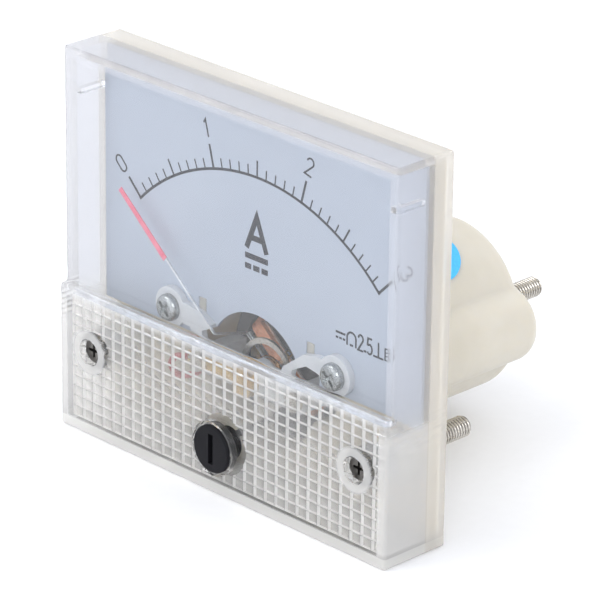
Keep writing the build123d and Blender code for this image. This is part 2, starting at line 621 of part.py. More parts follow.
def spiral(front):
    """A flat hairspring of half-circle arcs in the open part, ending on the right."""
    with BuildSketch(facing(front + SPRING_WIDTH)) as profile:
        with BuildLine():
            for half_turn in range(2 * SPRING_TURNS):
                start = SPRING_INNER + SPRING_PITCH * half_turn / 2
                end = start + SPRING_PITCH / 2
                side = 1 if half_turn % 2 == 0 else -1
                middle = side * (start - end) / 2
                CenterArc(
                    center=(middle, PIVOT_Z),
                    radius=(start + end) / 2,
                    start_angle=0 if side > 0 else 180,
                    arc_size=180,
                )
        trace(line_width=SPRING_THICKNESS)
    extrude(profile.sketch, amount=SPRING_WIDTH)


with BuildPart() as front_hairspring:
    spiral(FRONT_SPRING_BACK - SPRING_WIDTH)
save(front_hairspring.part, "front_hairspring")

with BuildPart() as rear_hairspring:
    spiral(REAR_SPRING_FRONT)
save(rear_hairspring.part, "rear_hairspring")

RING_RADIUS = 4.6
RING_WIDTH = 0.8
FORK_TOP = PIVOT_Z - RING_RADIUS
FORK_BOTTOM = ADJUSTER_Z - 0.4
FORK_SLOT = 2 * ADJUSTER_PIN_RADIUS + 0.4
with BuildPart() as front_zero_arm:
    with BuildSketch(facing(ZERO_ARM_BACK)):
        with Locations((0, PIVOT_Z)):
            Circle(RING_RADIUS + RING_WIDTH / 2)
            Circle(RING_RADIUS - RING_WIDTH / 2, mode=Mode.SUBTRACT)
            Circle(2.0)
            Rectangle(2 * RING_RADIUS, 1.0)
        with Locations((0, (FORK_TOP + FORK_BOTTOM) / 2)):
            Rectangle(FORK_SLOT + 1.6, FORK_TOP - FORK_BOTTOM)
        with Locations((0, ADJUSTER_Z + ADJUSTER_PIN_OFFSET - 0.5)):
            Rectangle(FORK_SLOT, 3.0, mode=Mode.SUBTRACT)
        with Locations((0, PIVOT_Z)):
            Circle(1.2 + RUNNING_GAP, mode=Mode.SUBTRACT)
    extrude(amount=ZERO_ARM_BACK - ZERO_ARM_FRONT)
    block(ZERO_ARM_BACK, FRONT_SPRING_BACK, STAKE_RADIUS - 0.24, STAKE_RADIUS + 0.24,
          PIVOT_Z - 0.4, PIVOT_Z + 0.4)
save(front_zero_arm.part, "front_zero_arm")

TAIL_X = 3.0
TAIL_TOP = PIVOT_Z + 4.2
with BuildPart() as rear_spring_arm:
    disc(REAR_STRAP_FRONT - 0.4, REAR_STRAP_FRONT, 2.0)
    block(REAR_STRAP_FRONT - 0.4, REAR_STRAP_FRONT, 0, STAKE_RADIUS + 0.24,
          PIVOT_Z - 0.5, PIVOT_Z + 0.5)
    block(REAR_STRAP_FRONT - 0.4, REAR_STRAP_FRONT, TAIL_X - 0.6, TAIL_X + 0.6,
          PIVOT_Z, TAIL_TOP)
    block(REAR_SPRING_FRONT, REAR_STRAP_FRONT - 0.4, STAKE_RADIUS - 0.24, STAKE_RADIUS + 0.24,
          PIVOT_Z - 0.4, PIVOT_Z + 0.4)
    disc(REAR_STRAP_FRONT - 0.4, REAR_STRAP_FRONT, 1.2, mode=Mode.SUBTRACT)
save(rear_spring_arm.part, "rear_spring_arm")

# ---- Terminals, shunt and leads -------------------------------------------------------------

with BuildPart() as terminal_studs:
    places = both_sides(TERMINAL_X, TERMINAL_Z)
    disc(TERMINAL_HEAD_FRONT, LUG_FRONT, TERMINAL_HEAD_RADIUS, places)
    # The thread is at its root size as far as the nut's outer face
    disc(LUG_FRONT, NUT_BACK, THREAD_ROOT_RADIUS, places)
    disc(NUT_BACK, TERMINAL_TIP, STUD_RADIUS, places)
    fillet(terminal_studs.edges().group_by(Axis.Y)[-1], radius=TERMINAL_TIP_ROUNDING)
save(terminal_studs.part, "terminal_studs")

with BuildPart() as terminal_washers:
    with BuildSketch(facing(BARREL_DEPTH + WASHER_THICKNESS)):
        with Locations(*both_sides(TERMINAL_X, TERMINAL_Z)):
            Circle(3.25)
            Circle(STUD_RADIUS + 0.1, mode=Mode.SUBTRACT)
    extrude(amount=WASHER_THICKNESS)
save(terminal_washers.part, "terminal_washers")

with BuildPart() as terminal_nuts:
    with BuildSketch(facing(NUT_BACK)):
        with Locations(*both_sides(TERMINAL_X, TERMINAL_Z)):
            RegularPolygon(radius=2.75, side_count=6, major_radius=False)
            Circle(THREAD_ROOT_RADIUS, mode=Mode.SUBTRACT)
    extrude(amount=NUT_THICKNESS)
save(terminal_nuts.part, "terminal_nuts")

LUG_TAB_X = 9.0
LUG_TAB_FRONT = 31.4
with BuildPart() as solder_lugs:
    disc(LUG_FRONT, CASE_FLOOR, 2.6, both_sides(TERMINAL_X, TERMINAL_Z))
    for side in (-1, 1):
        near = side * TERMINAL_X
        far = side * (LUG_TAB_X + 0.2)
        block(LUG_FRONT, CASE_FLOOR, min(near, far), max(near, far),
              TERMINAL_Z - 0.7, TERMINAL_Z + 0.7)
        block(LUG_TAB_FRONT, CASE_FLOOR, side * LUG_TAB_X - 0.2, side * LUG_TAB_X + 0.2,
              TERMINAL_Z - 0.7, TERMINAL_Z + 0.7)
    disc(LUG_FRONT, CASE_FLOOR, THREAD_ROOT_RADIUS, both_sides(TERMINAL_X, TERMINAL_Z),
         Mode.SUBTRACT)
save(solder_lugs.part, "solder_lugs")

SHUNT_FRONT = 24.0
SHUNT_THICKNESS = 0.5
with BuildPart() as shunt:
    # U-shaped resistance strap standing on the two terminal heads
    half_span = TERMINAL_X + SHUNT_THICKNESS / 2
    with BuildSketch(Plane.XY.offset(TERMINAL_Z - 1.5)):
        with BuildLine():
            FilletPolyline(
                (-TERMINAL_X, TERMINAL_HEAD_FRONT),
                (-TERMINAL_X, SHUNT_FRONT),
                (TERMINAL_X, SHUNT_FRONT),
                (TERMINAL_X, TERMINAL_HEAD_FRONT),
                radius=1.5,
            )
        trace(line_width=SHUNT_THICKNESS)
    extrude(amount=3.0)
    block(TERMINAL_HEAD_FRONT, TERMINAL_HEAD_FRONT + 1, -half_span - 1, half_span + 1,
          TERMINAL_Z - 2, TERMINAL_Z + 2, Mode.SUBTRACT)
save(shunt.part, "shunt")

LEAD_RADIUS = 0.45


def bend_radii(points):
    """The largest arc that each corner's two runs leave room for."""
    corners = [Vector(*point) for point in points]
    radii = []
    for before, corner, after in zip(corners, corners[1:], corners[2:]):
        run_in = corner - before
        run_out = after - corner
        half_turn = math.radians(run_in.get_angle(run_out)) / 2
        radii.append(0.45 * min(run_in.length, run_out.length) / math.tan(half_turn))
    return radii


def lead(points, name):
    """An insulated lead along straight runs joined by tangent arcs."""
    radii = bend_radii(points)
    with BuildPart() as wire:
        with BuildLine() as route:
            FilletPolyline(*points, radius=radii)
        with BuildSketch(Plane(origin=points[0], z_dir=route.line % 0)):
            Circle(LEAD_RADIUS)
        sweep()
    length = route.wire().length
    ratio = wire.part.volume / (math.pi * LEAD_RADIUS**2 * length)
    print(name, "radii", [round(r, 2) for r in radii], "length", round(length, 1),
          "volume over section times length", round(ratio, 4))
    save(wire.part, name)


# From the contact strip, round below the dial, back through the left lobe's channel
lead(
    (
        (CONTACT_LEFT, BRIDGE_FRONT - LEAD_RADIUS, PIVOT_Z),
        (-13.6, -5.6, 2.2),
        (-14.6, -5.7, 0.6),
        (-13.6, -5.2, -1.0),
        (-11.7, -3.6, -0.7),
        (-11.9, 1.0, 0.4),
        (-11.9, 23.5, 0.4),
        (-LUG_TAB_X, 27.5, TERMINAL_Z),
        (-LUG_TAB_X, LUG_TAB_FRONT, TERMINAL_Z),
    ),
    "red_lead",
)
# From the rear spring arm to the right solder lug
lead(
    (
        (TAIL_X, REAR_STRAP_FRONT, TAIL_TOP - 0.6),
        (TAIL_X, 21.5, TAIL_TOP - 0.6),
        (6.6, 24.5, 7.6),
        (LUG_TAB_X, 27.5, TERMINAL_Z),
        (LUG_TAB_X, LUG_TAB_FRONT, TERMINAL_Z),
    ),
    "black_lead",
)
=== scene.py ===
"""Looks of the small panel meter: cover relief, dial print, threads, winding, materials."""

import math

import bmesh
import bpy
from mathutils import Matrix, Vector


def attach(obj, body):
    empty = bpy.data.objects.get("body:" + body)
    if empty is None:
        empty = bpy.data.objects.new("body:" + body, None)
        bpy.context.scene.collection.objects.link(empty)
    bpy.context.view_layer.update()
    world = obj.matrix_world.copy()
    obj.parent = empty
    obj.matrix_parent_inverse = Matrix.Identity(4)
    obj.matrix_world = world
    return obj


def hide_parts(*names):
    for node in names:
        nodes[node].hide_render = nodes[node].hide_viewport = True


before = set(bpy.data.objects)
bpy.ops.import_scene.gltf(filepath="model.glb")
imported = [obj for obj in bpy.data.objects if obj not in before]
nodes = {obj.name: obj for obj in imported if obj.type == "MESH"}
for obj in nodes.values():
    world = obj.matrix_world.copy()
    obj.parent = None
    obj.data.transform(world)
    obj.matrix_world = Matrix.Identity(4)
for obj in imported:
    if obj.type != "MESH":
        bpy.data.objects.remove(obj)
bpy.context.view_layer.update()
slot_of = {name: obj.data.materials[0].name for name, obj in nodes.items()}
for packed in list(bpy.data.materials):
    packed.name = "packed_" + packed.name
MM = 0.001

# ---- Places taken from the CAD part, in millimetres --------------------------------------------

APRON_INSIDE = -9.6
APRON_CAVITY_TOP = 7.3
CAVITY_BOTTOM = -11.1
CAVITY_HALF_WIDTH = 30.5
FLOOR_Z = -12.6
DIAL_FRONT = -3.5
SCALE_CENTRE_Z = -0.9
SCALE_RADIUS = 32.5
PIVOT_Z = 2.6
ZERO_ANGLE = math.radians(-49.8)
COLUMNS = 30
ROWS = 12
CELL_WIDTH = 2 * CAVITY_HALF_WIDTH / COLUMNS
CELL_HEIGHT = (APRON_CAVITY_TOP - CAVITY_BOTTOM) / ROWS
STUD_X = 26.0
ADJUSTER_Z = -5.5
TERMINAL_X = 5.2
TERMINAL_Z = 3.5

# Where the clear cover's look changes, from the first value to the second along one direction
SIDE_WALLS = (30.3, 30.6)
TOP_WALL = (41.4, 41.8)
BASE_WALL = (-11.0, -10.6)
LEDGE_DEPTHS = (-10.4, -10.0)
LEDGE_HEIGHTS = (7.3, 7.6)
SCREW_RING_INSIDE = (1.9, 2.0)
SCREW_RING_OUTSIDE = (2.9, 3.5)
CASE_DEPTHS = (-3.7, -3.3)
APRON_SIDE_TOP = (6.0, 9.5)
LEVEL_LINES_START = (2.0, 5.0)
LEVEL_LINE_PITCH = 0.77
FULLY_CLEAR = 0.99

# The relief gets clearer from the first value to the second, upwards and from the left; the
# milkier, paler relief lower down and at the left is painted light
RELIEF_HEIGHTS = (-9.0, 5.0)
RELIEF_LEFT = (-30.0, -14.0)


# ---- Materials ---------------------------------------------------------------------------------


class Nodes:
    """A material's node tree with short ways to add and join nodes."""

    def __init__(self, name):
        self.material = bpy.data.materials.new(name)
        self.material.use_nodes = True
        self.tree = self.material.node_tree
        self.shader = self.tree.nodes["Principled BSDF"]
        self.coordinates = self.tree.nodes.new("ShaderNodeTexCoord").outputs["Object"]

    def add(self, kind, inputs=(), **settings):
        """A new node; each input is a value or another node's output socket."""
        node = self.tree.nodes.new(kind)
        for key, value in settings.items():
            setattr(node, key, value)
        for key, value in dict(inputs).items():
            if isinstance(value, bpy.types.NodeSocket):
                self.tree.links.new(value, node.inputs[key])
            else:
                node.inputs[key].default_value = value
        return node

    def noise(self, size_mm, detail=4.0, rough=0.55, stretch=None):
        """Fractal noise whose features are about size_mm across."""
        where = self.coordinates
        if stretch:
            where = self.add(
                "ShaderNodeMapping", {"Vector": where, "Scale": stretch}
            ).outputs["Vector"]
        return self.add(
            "ShaderNodeTexNoise",
            {"Vector": where, "Scale": 1 / (size_mm * MM), "Detail": detail, "Roughness": rough},
        ).outputs["Fac"]

    def ramp(self, fac, stops):
        """A colour ramp through (place, colour) stops."""
        node = self.add("ShaderNodeValToRGB", {"Fac": fac})
        elements = node.color_ramp.elements
        while len(elements) < len(stops):
            elements.new(0.5)
        for element, (place, colour) in zip(elements, stops):
            element.position = place
            element.color = (*colour, 1)
        return node.outputs["Color"]

    def blend(self, fac, first, second):
        """The first colour where fac is 0, the second where it is 1."""
        node = self.tree.nodes.new("ShaderNodeMix")
        node.data_type = "RGBA"
        # The mix node has a pair of inputs for each kind of value; these two are the colours
        first_colour, second_colour = node.inputs[6], node.inputs[7]
        self.tree.links.new(fac, node.inputs["Factor"])
        self.tree.links.new(first, first_colour)
        second_colour.default_value = (*second, 1)
        return node.outputs[2]

    def math(self, operation, first, second=0.0):
        """One sum on two values or sockets."""
        return self.add(
            "ShaderNodeMath", {0: first, 1: second}, operation=operation
        ).outputs["Value"]

    def spread(self, fac, low, high, start=0.3, end=0.7):
        """fac between start and end, spread over low to high."""
        return self.add(
            "ShaderNodeMapRange",
            {"Value": fac, "From Min": start, "From Max": end, "To Min": low, "To Max": high},
        ).outputs["Result"]

    def band(self, place, limits, falling=False):
        """0 below the first limit and 1 above the second, in mm; the other way if falling."""
        low, high = (1, 0) if falling else (0, 1)
        return self.spread(place, low, high, limits[0] * MM, limits[1] * MM)

    def bump(self, height, depth_mm, strength=1.0, under=None):
        """A normal bumped by height on top of the normal under it."""
        inputs = {"Height": height, "Distance": depth_mm * MM, "Strength": strength}
        if under is not None:
            inputs["Normal"] = under
        return self.add("ShaderNodeBump", inputs).outputs["Normal"]

    def finish(self, colour=None, rough=None, normal=None, **constants):
        """Links the shader's main inputs and sets the rest as constants."""
        for key, value in (("Base Color", colour), ("Roughness", rough), ("Normal", normal)):
            if value is not None:
                self.tree.links.new(value, self.shader.inputs[key])
        for key, value in constants.items():
            self.shader.inputs[key.replace("_", " ")].default_value = value
        return self.material


def moulded(name, light, dark, rough, grain_mm=0.35, grain_depth=0.008, **constants):
    """Moulded plastic: faint flow shading, a fine grain and slightly uneven gloss."""
    m = Nodes(name)
    blotch = m.noise(9.0, 3)
    grain = m.noise(grain_mm, 5)
    colour = m.ramp(blotch, ((0.3, dark), (0.7, light)))
    speck = m.noise(0.9, 2)
    gloss = m.spread(speck, rough - 0.07, rough + 0.09)
    waves = m.bump(blotch, 0.05, 0.35)
    normal = m.bump(grain, grain_depth, 0.6, under=waves)
    return m.finish(colour, gloss, normal, **constants)


def metal(name, light, dark, rough, brushed=None):
    """Turned, drawn or plated metal with fine marks and patchy tarnish."""
    m = Nodes(name)
    blotch = m.noise(1.6, 5, 0.65)
    colour = m.ramp(blotch, ((0.32, dark), (0.62, light)))
    marks = m.noise(0.12, 4, 0.6, stretch=brushed or (1, 1, 1))
    gloss = m.spread(marks, rough - 0.09, rough + 0.13)
    dents = m.bump(blotch, 0.02, 0.3)
    normal = m.bump(marks, 0.006, 0.5, under=dents)
    return m.finish(colour, gloss, normal, Metallic=1.0)


def clear_plastic():
    """Clear polystyrene: faint ripple and handling marks, milkier in the walls and at the ledge.

    It is milkier too round the cover screws, beside the rear case and on the apron's sides.
    Round the screws it carries painted shade, beside the rear case painted cream for the case
    seen through the walls, and on the lower wall painted light.
    """
    m = Nodes("clear_plastic")
    ripple = m.noise(14.0, 2)
    marks = m.noise(0.5, 4, 0.6, stretch=(1, 1, 0.25))
    place = m.add("ShaderNodeSeparateXYZ", {"Vector": m.coordinates}).outputs
    sideways = m.math("ABSOLUTE", place["X"])
    in_side = m.band(sideways, SIDE_WALLS)
    in_top = m.band(place["Z"], TOP_WALL)
    in_base = m.band(place["Z"], BASE_WALL, falling=True)
    in_wall = m.math("MAXIMUM", m.math("MAXIMUM", in_side, in_top), in_base)
    # The ledge where the apron steps out from the window
    on_ledge = m.math(
        "MULTIPLY", m.band(place["Y"], LEDGE_DEPTHS, falling=True),
        m.band(place["Z"], LEDGE_HEIGHTS),
    )
    beside = m.math("SUBTRACT", sideways, STUD_X * MM)
    from_screw = m.add(
        "ShaderNodeVectorMath",
        {0: m.add("ShaderNodeCombineXYZ", {"X": beside, "Z": place["Z"]}).outputs["Vector"]},
        operation="LENGTH",
    ).outputs["Value"]
    round_screw = m.math(
        "MULTIPLY", m.band(from_screw, SCREW_RING_INSIDE),
        m.band(from_screw, SCREW_RING_OUTSIDE, falling=True),
    )
    # Beside the rear case the walls are painted cream, a painted stand-in for the case's cream
    # seen through them
    by_case = m.math("MULTIPLY", in_wall, m.band(place["Y"], CASE_DEPTHS))
    # The apron's side walls are finely frosted inside; its lower wall is made milkier and painted
    # whiter, painted light against the shadow from the floor below it
    beside_apron = m.math("MULTIPLY", in_side, m.band(place["Z"], APRON_SIDE_TOP, falling=True))
    frosted_and_brightened = m.math("MAXIMUM", m.math("MULTIPLY", beside_apron, 0.75), in_base)
    clearness = m.spread(in_wall, FULLY_CLEAR, 0.80, 0.0, 1.0)
    for mask, milkiest in ((on_ledge, 0.74), (round_screw, 0.4), (by_case, 0.6), (frosted_and_brightened, 0.55)):
        clearness = m.math("MINIMUM", clearness, m.spread(mask, FULLY_CLEAR, milkiest, 0.0, 1.0))
    m.tree.links.new(clearness, m.shader.inputs["Transmission Weight"])
    tint = m.ramp(ripple, ((0.3, (0.94, 0.95, 0.965)), (0.7, (0.965, 0.97, 0.98))))
    tint = m.blend(in_wall, tint, (0.84, 0.84, 0.865))
    # Frosting on the side walls, and painted light on the lower wall: a whiter tint
    tint = m.blend(frosted_and_brightened, tint, (0.96, 0.95, 0.92))
    # Painted shade: dark grey round the cover screws' recesses
    tint = m.blend(round_screw, tint, (0.63, 0.625, 0.61))
    # Painted cream beside the rear case, for the case seen through the walls
    tint = m.blend(by_case, tint, (0.90, 0.865, 0.80))
    scuffs = m.spread(marks, 0.0, 0.05, 0.45, 0.8)
    blur = m.spread(m.math("MAXIMUM", in_wall, on_ledge), 0.0, 0.22, 0.0, 1.0)
    gloss = m.math("ADD", scuffs, blur)
    waves = m.bump(ripple, 0.02, 0.25)
    # The relief shows through the top of the apron's sides as fine level lines
    lines = m.math("SINE", m.math("MULTIPLY", place["Z"], math.tau / (LEVEL_LINE_PITCH * MM)))
    strength = m.math("MULTIPLY", beside_apron, m.band(place["Z"], LEVEL_LINES_START))
    ribbed = m.bump(m.math("MULTIPLY", lines, strength), 0.03, 0.7, under=waves)
    normal = m.bump(marks, 0.0006, 0.15, under=ribbed)
    return m.finish(tint, gloss, normal, IOR=1.2, Coat_Weight=0.75, Coat_IOR=1.49,
                    Coat_Roughness=0.02)


def relief_plastic(name, low, high, light, dark):
    """Waffle relief: milkier, and so paler, lower down and to the left as painted light; painted
    shade darkens one corner of each cell.

    low and high are its clearness at the foot and at the top of the apron.
    """
    m = Nodes(name)
    cloud = m.noise(1.1, 3)
    sparkle = m.noise(0.3, 3)
    place = m.add("ShaderNodeSeparateXYZ", {"Vector": m.coordinates}).outputs
    along = m.math("DIVIDE", m.math("ADD", place["X"], CAVITY_HALF_WIDTH * MM), CELL_WIDTH * MM)
    up = m.math("DIVIDE", m.math("SUBTRACT", place["Z"], CAVITY_BOTTOM * MM), CELL_HEIGHT * MM)
    # Painted shade: each cell darkens towards one corner, standing in for the shading of facets in
    # the relief
    corner = m.math(
        "ADD", m.math("FRACT", along), m.math("MULTIPLY", m.math("FRACT", up), 0.6)
    )
    shade = m.math("MULTIPLY", m.spread(corner, 0.0, 1.0, 0.6, 1.3), m.spread(cloud, 0.8, 1.0))
    tint = m.ramp(shade, ((0.0, light), (1.0, dark)))
    # Painted light: lower down and to the left the relief is milkier, and so paler
    foot, head = RELIEF_HEIGHTS
    upward = m.spread(place["Z"], low, high, foot * MM, head * MM)
    left, middle = RELIEF_LEFT
    rightward = m.spread(place["X"], 0.6, 1.0, left * MM, middle * MM)
    m.tree.links.new(m.math("MULTIPLY", upward, rightward), m.shader.inputs["Transmission Weight"])
    gloss = m.spread(sparkle, 0.08, 0.22)
    return m.finish(tint, gloss, m.bump(sparkle, 0.001, 0.3), IOR=1.2, Coat_Weight=0.6,
                    Coat_IOR=1.49, Coat_Roughness=0.08)


def soft_nylon():
    """White nylon: milky, with a little light passing into it and a fine mould texture."""
    m = Nodes("white_nylon")
    blotch = m.noise(3.0, 3)
    grain = m.noise(0.2, 4)
    colour = m.ramp(blotch, ((0.3, (0.72, 0.745, 0.77)), (0.7, (0.82, 0.84, 0.86))))
    gloss = m.spread(grain, 0.28, 0.45)
    normal = m.bump(grain, 0.006, 0.5, under=m.bump(blotch, 0.04, 0.4))
    return m.finish(colour, gloss, normal, Subsurface_Weight=0.35, Subsurface_Scale=0.8 * MM,
                    Subsurface_Radius=(0.9, 0.95, 1.0))


def dial_paint():
    """Pale blue-white enamel on the dial plate, with a very fine orange peel."""
    m = Nodes("dial_face")
    cloud = m.noise(18.0, 3)
    peel = m.noise(0.28, 3)
    dust = m.noise(0.12, 2)
    colour = m.ramp(cloud, ((0.3, (0.505, 0.56, 0.65)), (0.7, (0.54, 0.595, 0.68))))
    gloss = m.spread(dust, 0.42, 0.6)
    return m.finish(colour, gloss, m.bump(peel, 0.003, 0.2))


def print_ink():
    """Screen-printed near-black ink with a blue cast, thinner in places."""
    m = Nodes("dial_ink")
    thin = m.noise(0.25, 4)
    colour = m.ramp(thin, ((0.35, (0.014, 0.017, 0.028)), (0.75, (0.035, 0.04, 0.056))))
    gloss = m.spread(thin, 0.5, 0.7)
    return m.finish(colour, gloss, m.bump(thin, 0.006, 0.4), Specular_IOR_Level=0.15)


def enamelled_wire():
    """Enamelled copper wire, patchy in colour and shiny along its run."""
    m = Nodes("copper")
    patch = m.noise(0.8, 4)
    shine = m.noise(0.15, 3, stretch=(1, 0.1, 1))
    colour = m.ramp(patch, ((0.3, (0.74, 0.26, 0.11)), (0.7, (0.97, 0.48, 0.25))))
    gloss = m.spread(shine, 0.22, 0.42)
    return m.finish(colour, gloss, m.bump(shine, 0.01, 0.5), Metallic=0.45, Coat_Weight=0.6,
                    Coat_Roughness=0.15)


def red_lacquer():
    """Glossy fluorescent red lacquer on the pointer's blade."""
    m = Nodes("red_enamel")
    flow = m.noise(1.6, 3)
    dust = m.noise(0.15, 2)
    colour = m.ramp(flow, ((0.3, (0.93, 0.13, 0.22)), (0.7, (1.0, 0.24, 0.33))))
    gloss = m.spread(dust, 0.25, 0.4)
    return m.finish(colour, gloss, m.bump(flow, 0.02, 0.5), Coat_Weight=0.5, Coat_Roughness=0.1)


def paper_label():
    """Blue vinyl sticker with slight creases and a faint print mottle."""
    m = Nodes("blue_label")
    mottle = m.noise(0.35, 4)
    crease = m.noise(3.5, 3)
    colour = m.ramp(mottle, ((0.3, (0.035, 0.43, 0.86)), (0.7, (0.06, 0.55, 0.96))))
    gloss = m.spread(mottle, 0.3, 0.46)
    normal = m.bump(mottle, 0.004, 0.4, under=m.bump(crease, 0.05, 0.5))
    return m.finish(colour, gloss, normal)


def iron(name, light, dark, rough, pit_mm=0.25):
    """Blackened soft iron or sintered magnet: grainy, dull, with pits."""
    m = Nodes(name)
    patch = m.noise(1.8, 5, 0.6)
    pits = m.add(
        "ShaderNodeTexVoronoi", {"Vector": m.coordinates, "Scale": 1 / (pit_mm * MM)}
    ).outputs["Distance"]
    colour = m.ramp(patch, ((0.3, dark), (0.68, light)))
    gloss = m.spread(patch, rough - 0.1, rough + 0.12)
    normal = m.bump(pits, 0.012, 0.5, under=m.bump(patch, 0.02, 0.4))
    return m.finish(colour, gloss, normal, Metallic=0.7)


LOOKS = {
    "clear_plastic": clear_plastic(),
    "cream_plastic": moulded(
        "cream_plastic", (0.665, 0.625, 0.54), (0.61, 0.57, 0.48), 0.4,
        Subsurface_Weight=0.85, Subsurface_Scale=2.5 * MM, Subsurface_Radius=(1.0, 0.9, 0.7),
    ),
    "white_nylon": soft_nylon(),
    "black_plastic": moulded(
        "black_plastic", (0.014, 0.014, 0.017), (0.008, 0.008, 0.01), 0.42, grain_mm=0.2,
        grain_depth=0.012, Specular_IOR_Level=0.1,
    ),
    "dial_face": dial_paint(),
    "nickel": metal("nickel", (0.74, 0.71, 0.66), (0.55, 0.52, 0.47), 0.26),
    "brass": metal("brass", (0.78, 0.57, 0.26), (0.55, 0.37, 0.14), 0.28),
    "bronze": metal("bronze", (0.74, 0.43, 0.20), (0.50, 0.25, 0.10), 0.25, (1, 0.2, 1)),
    "copper": enamelled_wire(),
    "aluminium": metal("aluminium", (0.86, 0.87, 0.88), (0.68, 0.69, 0.70), 0.3, (0.3, 1, 1)),
    "steel": metal("steel", (0.60, 0.60, 0.60), (0.42, 0.42, 0.43), 0.27, (1, 0.25, 1)),
    "soft_iron": iron("soft_iron", (0.17, 0.17, 0.175), (0.085, 0.085, 0.09), 0.5),
    "magnet": iron("magnet", (0.13, 0.135, 0.14), (0.06, 0.062, 0.066), 0.42, 0.18),
    "red_enamel": red_lacquer(),
    "red_pvc": moulded("red_pvc", (0.62, 0.035, 0.03), (0.46, 0.02, 0.02), 0.4, grain_mm=0.15),
    "black_pvc": moulded(
        "black_pvc", (0.035, 0.035, 0.037), (0.02, 0.02, 0.022), 0.42, grain_mm=0.15
    ),
    "blue_label": paper_label(),
}
INK = print_ink()
# The last two colours run from each cell's lit tone to its painted shade in one corner
PAD_LOOK = relief_plastic("relief_pad", 0.54, 0.84, (1.0, 0.975, 0.925), (0.68, 0.66, 0.63))
RIDGE_LOOK = relief_plastic("relief_ridge", 0.08, 0.20, (1.0, 0.985, 0.955), (0.92, 0.90, 0.87))
# Painted shade in the thread grooves: a darker metal for the faces in their roots
PAINTED_GROOVE_SHADE = metal("thread_groove_shade", (0.40, 0.38, 0.35), (0.24, 0.22, 0.20), 0.5)


def wear(obj, look):
    """Gives a CAD piece that look and no other."""
    obj.data.materials.clear()
    obj.data.materials.append(look)


for node_name, obj in nodes.items():
    wear(obj, LOOKS[slot_of[node_name]])
wear(nodes["dial_screws"], metal("zinc_plate", (0.50, 0.52, 0.52), (0.30, 0.32, 0.32), 0.24))
# The cover screws get a much darker nickel than the dial screws
wear(nodes["cover_screws"], metal("dark_nickel", (0.20, 0.19, 0.175), (0.09, 0.085, 0.08), 0.34))


# ---- Mesh helpers ------------------------------------------------------------------------------


def put(name, mesh_data, body, look, replaced=(), smooth=None):
    """Links a mesh in millimetres as a piece riding on a body."""
    mesh_data.normal_update()
    mesh = bpy.data.meshes.new(name)
    mesh_data.to_mesh(mesh)
    mesh_data.free()
    mesh.transform(Matrix.Scale(MM, 4))
    if smooth is not None:
        mesh.shade_smooth()
        mesh.set_sharp_from_angle(angle=math.radians(smooth))
    obj = bpy.data.objects.new(name, mesh)
    bpy.context.scene.collection.objects.link(obj)
    obj.data.materials.append(look)
    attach(obj, body)
    if replaced:
        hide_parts(*replaced)
    return obj


def add_grid(mesh_data, rows):
    """Joins closed rows of points into quads and returns the rows' vertices."""
    made = [[mesh_data.verts.new(point) for point in row] for row in rows]
    for low, high in zip(made, made[1:]):
        count = len(low)
        for i in range(count):
            j = (i + 1) % count
            mesh_data.faces.new((low[i], low[j], high[j], high[i]))
    return made


# ---- Waffle relief inside the cover's apron ----------------------------------------------------

RELIEF_DEPTH = 0.42
PAD_ROOT = 0.3
GROOVE_HALF = 0.035
PAD_HALF_WIDTH = 0.68
PAD_HALF_HEIGHT = 0.61
PAD_REACH = 0.7 * math.hypot(CELL_WIDTH, CELL_HEIGHT) / 2
SCREW_BOSS_RADIUS = 2.7
ADJUSTER_BOSS_RADIUS = 4.4
SMOOTH_SPOTS = (
    (-STUD_X, 0.0, SCREW_BOSS_RADIUS),
    (STUD_X, 0.0, SCREW_BOSS_RADIUS),
    (0.0, ADJUSTER_Z, ADJUSTER_BOSS_RADIUS),
)


def relief_pads():
    """Low flat-topped pads on the apron's inner face, left out where they'd be inside a boss."""
    pads = bmesh.new()
    foot_half_width = CELL_WIDTH / 2 - GROOVE_HALF
    foot_half_height = CELL_HEIGHT / 2 - GROOVE_HALF
    for column in range(COLUMNS):
        for row in range(ROWS):
            x = -CAVITY_HALF_WIDTH + (column + 0.5) * CELL_WIDTH
            z = CAVITY_BOTTOM + (row + 0.5) * CELL_HEIGHT
            if any(math.hypot(x - a, z - b) + PAD_REACH < r for a, b, r in SMOOTH_SPOTS):
                continue
            loops = []
            for depth, half_w, half_h in (
                (APRON_INSIDE - PAD_ROOT, foot_half_width, foot_half_height),
                (APRON_INSIDE, foot_half_width, foot_half_height),
                (APRON_INSIDE + RELIEF_DEPTH, PAD_HALF_WIDTH, PAD_HALF_HEIGHT),
            ):
                loops.append([
                    (x - half_w, depth, z - half_h), (x + half_w, depth, z - half_h),
                    (x + half_w, depth, z + half_h), (x - half_w, depth, z + half_h),
                ])
            made = add_grid(pads, loops)
            pads.faces.new(made[0])
            pads.faces.new(reversed(made[-1])).material_index = 1
    bmesh.ops.recalc_face_normals(pads, faces=pads.faces)
    mesh = bpy.data.meshes.new("relief_pads")
    pads.to_mesh(mesh)
    pads.free()
    mesh.transform(Matrix.Scale(MM, 4))
    obj = bpy.data.objects.new("relief_pads", mesh)
    bpy.context.scene.collection.objects.link(obj)
    obj.data.materials.append(RIDGE_LOOK)
    obj.data.materials.append(PAD_LOOK)
    obj.hide_render = True
    obj.hide_viewport = True
    return obj


cover = nodes["front_cover"]
union = cover.modifiers.new("relief", "BOOLEAN")
union.operation = "UNION"
union.solver = "EXACT"
union.material_mode = "TRANSFER"
union.object = relief_pads()

# ---- Dial printing -----------------------------------------------------------------------------

INK_FRONT = DIAL_FRONT - 0.03
INK_THICKNESS = 0.035


